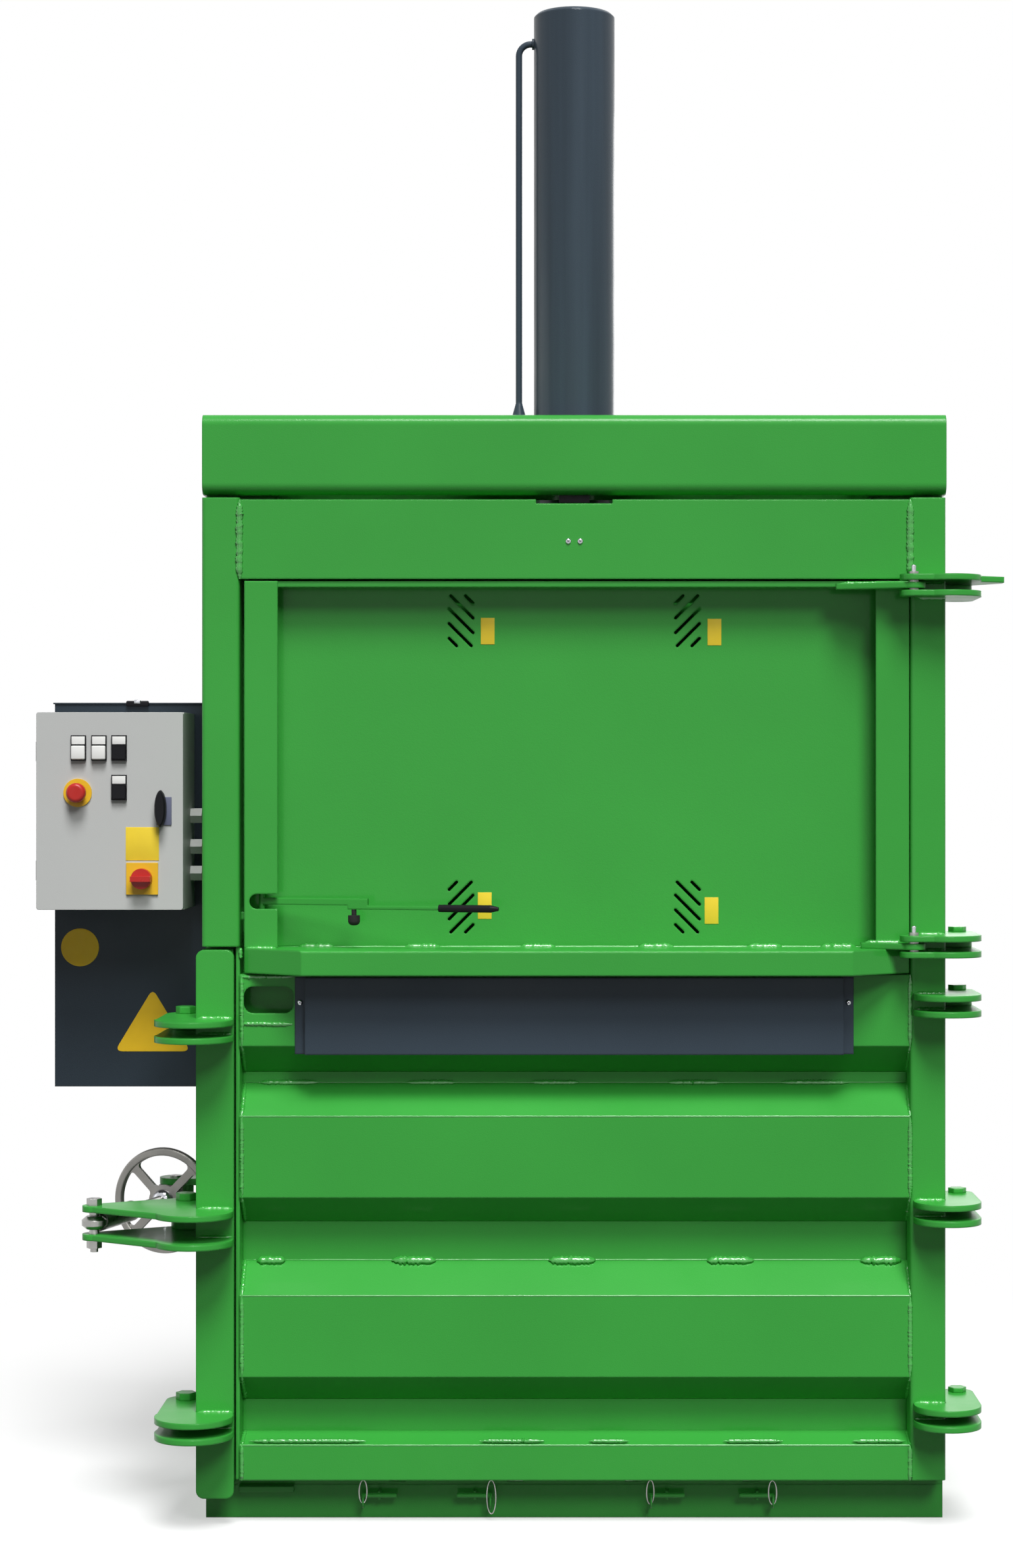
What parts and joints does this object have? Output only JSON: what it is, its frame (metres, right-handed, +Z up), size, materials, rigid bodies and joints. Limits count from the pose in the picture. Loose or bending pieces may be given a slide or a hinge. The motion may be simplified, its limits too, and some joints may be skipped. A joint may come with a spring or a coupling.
{
  "type": "recycling baler",
  "caption": "Upright press baler with a top cylinder, feed door over a full-height bale door, handwheel door lock, hydraulic cabinet and control box.",
  "frame": {"origin": "centre of the base tray's underside, on the floor", "axes": "+X to the operator's right, +Y to the back, +Z up"},
  "size_m": [1.973, 1.075, 3.16],
  "materials": {
    "green_paint": "gloss",
    "anthracite_paint": "satin",
    "grey_paint": "satin",
    "zinc_steel": "satin",
    "chrome_rod": "polished",
    "cast_wheel": "satin",
    "black_plastic": "matte",
    "grey_plastic": "matte",
    "black_rubber": "matte",
    "yellow_plastic": "gloss",
    "red_plastic": "gloss",
    "white_plastic": "gloss"
  },
  "bodies": {
    "frame": {"base_frame": "green_paint", "floor_plate": "green_paint", "left_wall": "green_paint", "right_wall": "green_paint", "lock_jamb": "green_paint", "back_wall": "green_paint", "top_beams": "green_paint", "crosshead": "green_paint", "cylinder_barrel": "anthracite_paint", "cylinder_gland": "zinc_steel", "hydraulic_pipe": "anthracite_paint", "hinge_lugs": "green_paint", "trunnion_bracket": "green_paint", "hydraulic_cabinet": "anthracite_paint", "oil_tank": "anthracite_paint", "pump_motor": "grey_paint", "control_box": "grey_paint", "control_gear": "black_plastic", "cable_glands": "grey_plastic", "strap_hooks": "green_paint", "door_switch": "black_plastic"},
    "press": {"press_platen": "green_paint", "piston_rod": "chrome_rod"},
    "bale_door": {"door_left_stile": "green_paint", "door_right_stile": "green_paint", "door_header": "green_paint", "door_mid_rail": "green_paint", "door_ribs": "green_paint", "door_skin": "green_paint", "cover_plate": "anthracite_paint", "door_screws": "zinc_steel", "door_hinge_plates": "green_paint", "door_hinge_pins": "green_paint", "feed_door_pins": "zinc_steel"},
    "feed_door": {"feed_door_left_stile": "green_paint", "feed_door_right_stile": "green_paint", "feed_door_top_rail": "green_paint", "feed_door_bottom_rail": "green_paint", "feed_door_panel": "green_paint", "feed_door_arms": "green_paint"},
    "latch": {"latch_lever": "green_paint", "latch_grip": "black_plastic", "latch_buffer": "black_rubber"},
    "lock_bar": {"lock_bar": "green_paint", "lock_bar_plates": "green_paint", "lock_bar_bolts": "green_paint", "rod_end_bolt": "zinc_steel"},
    "rod_end": {"rod_end": "zinc_steel"},
    "trunnion": {"trunnion_block": "zinc_steel"},
    "handwheel": {"handwheel": "cast_wheel", "spindle": "zinc_steel"},
    "control_door": {"control_door": "grey_paint", "switch_plates": "yellow_plastic", "indicator_lamps": "white_plastic", "button_bezels": "black_plastic"},
    "swing_handle": {"swing_handle": "black_plastic"},
    "main_switch": {"main_switch": "red_plastic"},
    "stop_button": {"stop_button": "red_plastic"},
    "up_button": {"up_button": "black_plastic"},
    "down_button": {"down_button": "black_plastic"}
  },
  "joints": [
    {"name": "press_slide", "type": "slide", "parent": "frame", "child": "press", "axis": [0, 0, -1], "range_m": [0, 0.9]},
    {"name": "bale_door_hinge", "type": "hinge", "parent": "frame", "child": "bale_door", "pos_m": [0.785, -0.399, 1.05], "axis": [0, 0, 1], "range_deg": [0, 150]},
    {"name": "feed_door_hinge", "type": "hinge", "parent": "bale_door", "child": "feed_door", "pos_m": [0.678, -0.557, 1.5], "axis": [0, 0, 1], "range_deg": [0, 110]},
    {"name": "latch_turn", "type": "hinge", "parent": "feed_door", "child": "latch", "pos_m": [-0.632, -0.482, 1.257], "axis": [0, 0, -1], "range_deg": [-15, 80]},
    {"name": "lock_bar_hinge", "type": "hinge", "parent": "frame", "child": "lock_bar", "pos_m": [-0.796, -0.399, 0.606], "axis": [0, 0, -1], "range_deg": [-4, 32]},
    {"name": "rod_end_pivot", "type": "hinge", "parent": "lock_bar", "child": "rod_end", "pos_m": [-0.972, -0.475, 0.606], "axis": [0, 0, -1], "range_deg": [-24, 3.5]},
    {"name": "trunnion_pivot", "type": "hinge", "parent": "frame", "child": "trunnion", "pos_m": [-0.856, -0.099, 0.606], "axis": [0, 0, -1], "range_deg": [-1.5, 9]},
    {"name": "handwheel_turn", "type": "hinge", "parent": "trunnion", "child": "handwheel", "pos_m": [-0.856, -0.099, 0.606], "axis": [0.2948, 0.9556, 0], "range_deg": [-350, 2790]},
    {"name": "control_door_hinge", "type": "hinge", "parent": "frame", "child": "control_door", "pos_m": [-1.1, -0.399, 1.438], "axis": [0, 0, -1], "range_deg": [0, 120]},
    {"name": "swing_handle_turn", "type": "hinge", "parent": "control_door", "child": "swing_handle", "pos_m": [-0.844, -0.417, 1.443], "axis": [0, 1, 0], "range_deg": [0, 90]},
    {"name": "main_switch_turn", "type": "hinge", "parent": "control_door", "child": "main_switch", "pos_m": [-0.883, -0.421, 1.3], "axis": [0, 1, 0], "range_deg": [0, 90]},
    {"name": "stop_button_press", "type": "slide", "parent": "control_door", "child": "stop_button", "axis": [0, 1, 0], "range_m": [0, 0.005]},
    {"name": "up_button_press", "type": "slide", "parent": "control_door", "child": "up_button", "axis": [0, 1, 0], "range_m": [0, 0.004]},
    {"name": "down_button_press", "type": "slide", "parent": "control_door", "child": "down_button", "axis": [0, 1, 0], "range_m": [0, 0.004]}
  ],
  "couplings": [
    {"joint": "rod_end_pivot", "follows": "lock_bar_hinge", "ratio": -0.725},
    {"joint": "trunnion_pivot", "follows": "lock_bar_hinge", "ratio": 0.275},
    {"joint": "handwheel_turn", "follows": "lock_bar_hinge", "ratio": 87}
  ]
}
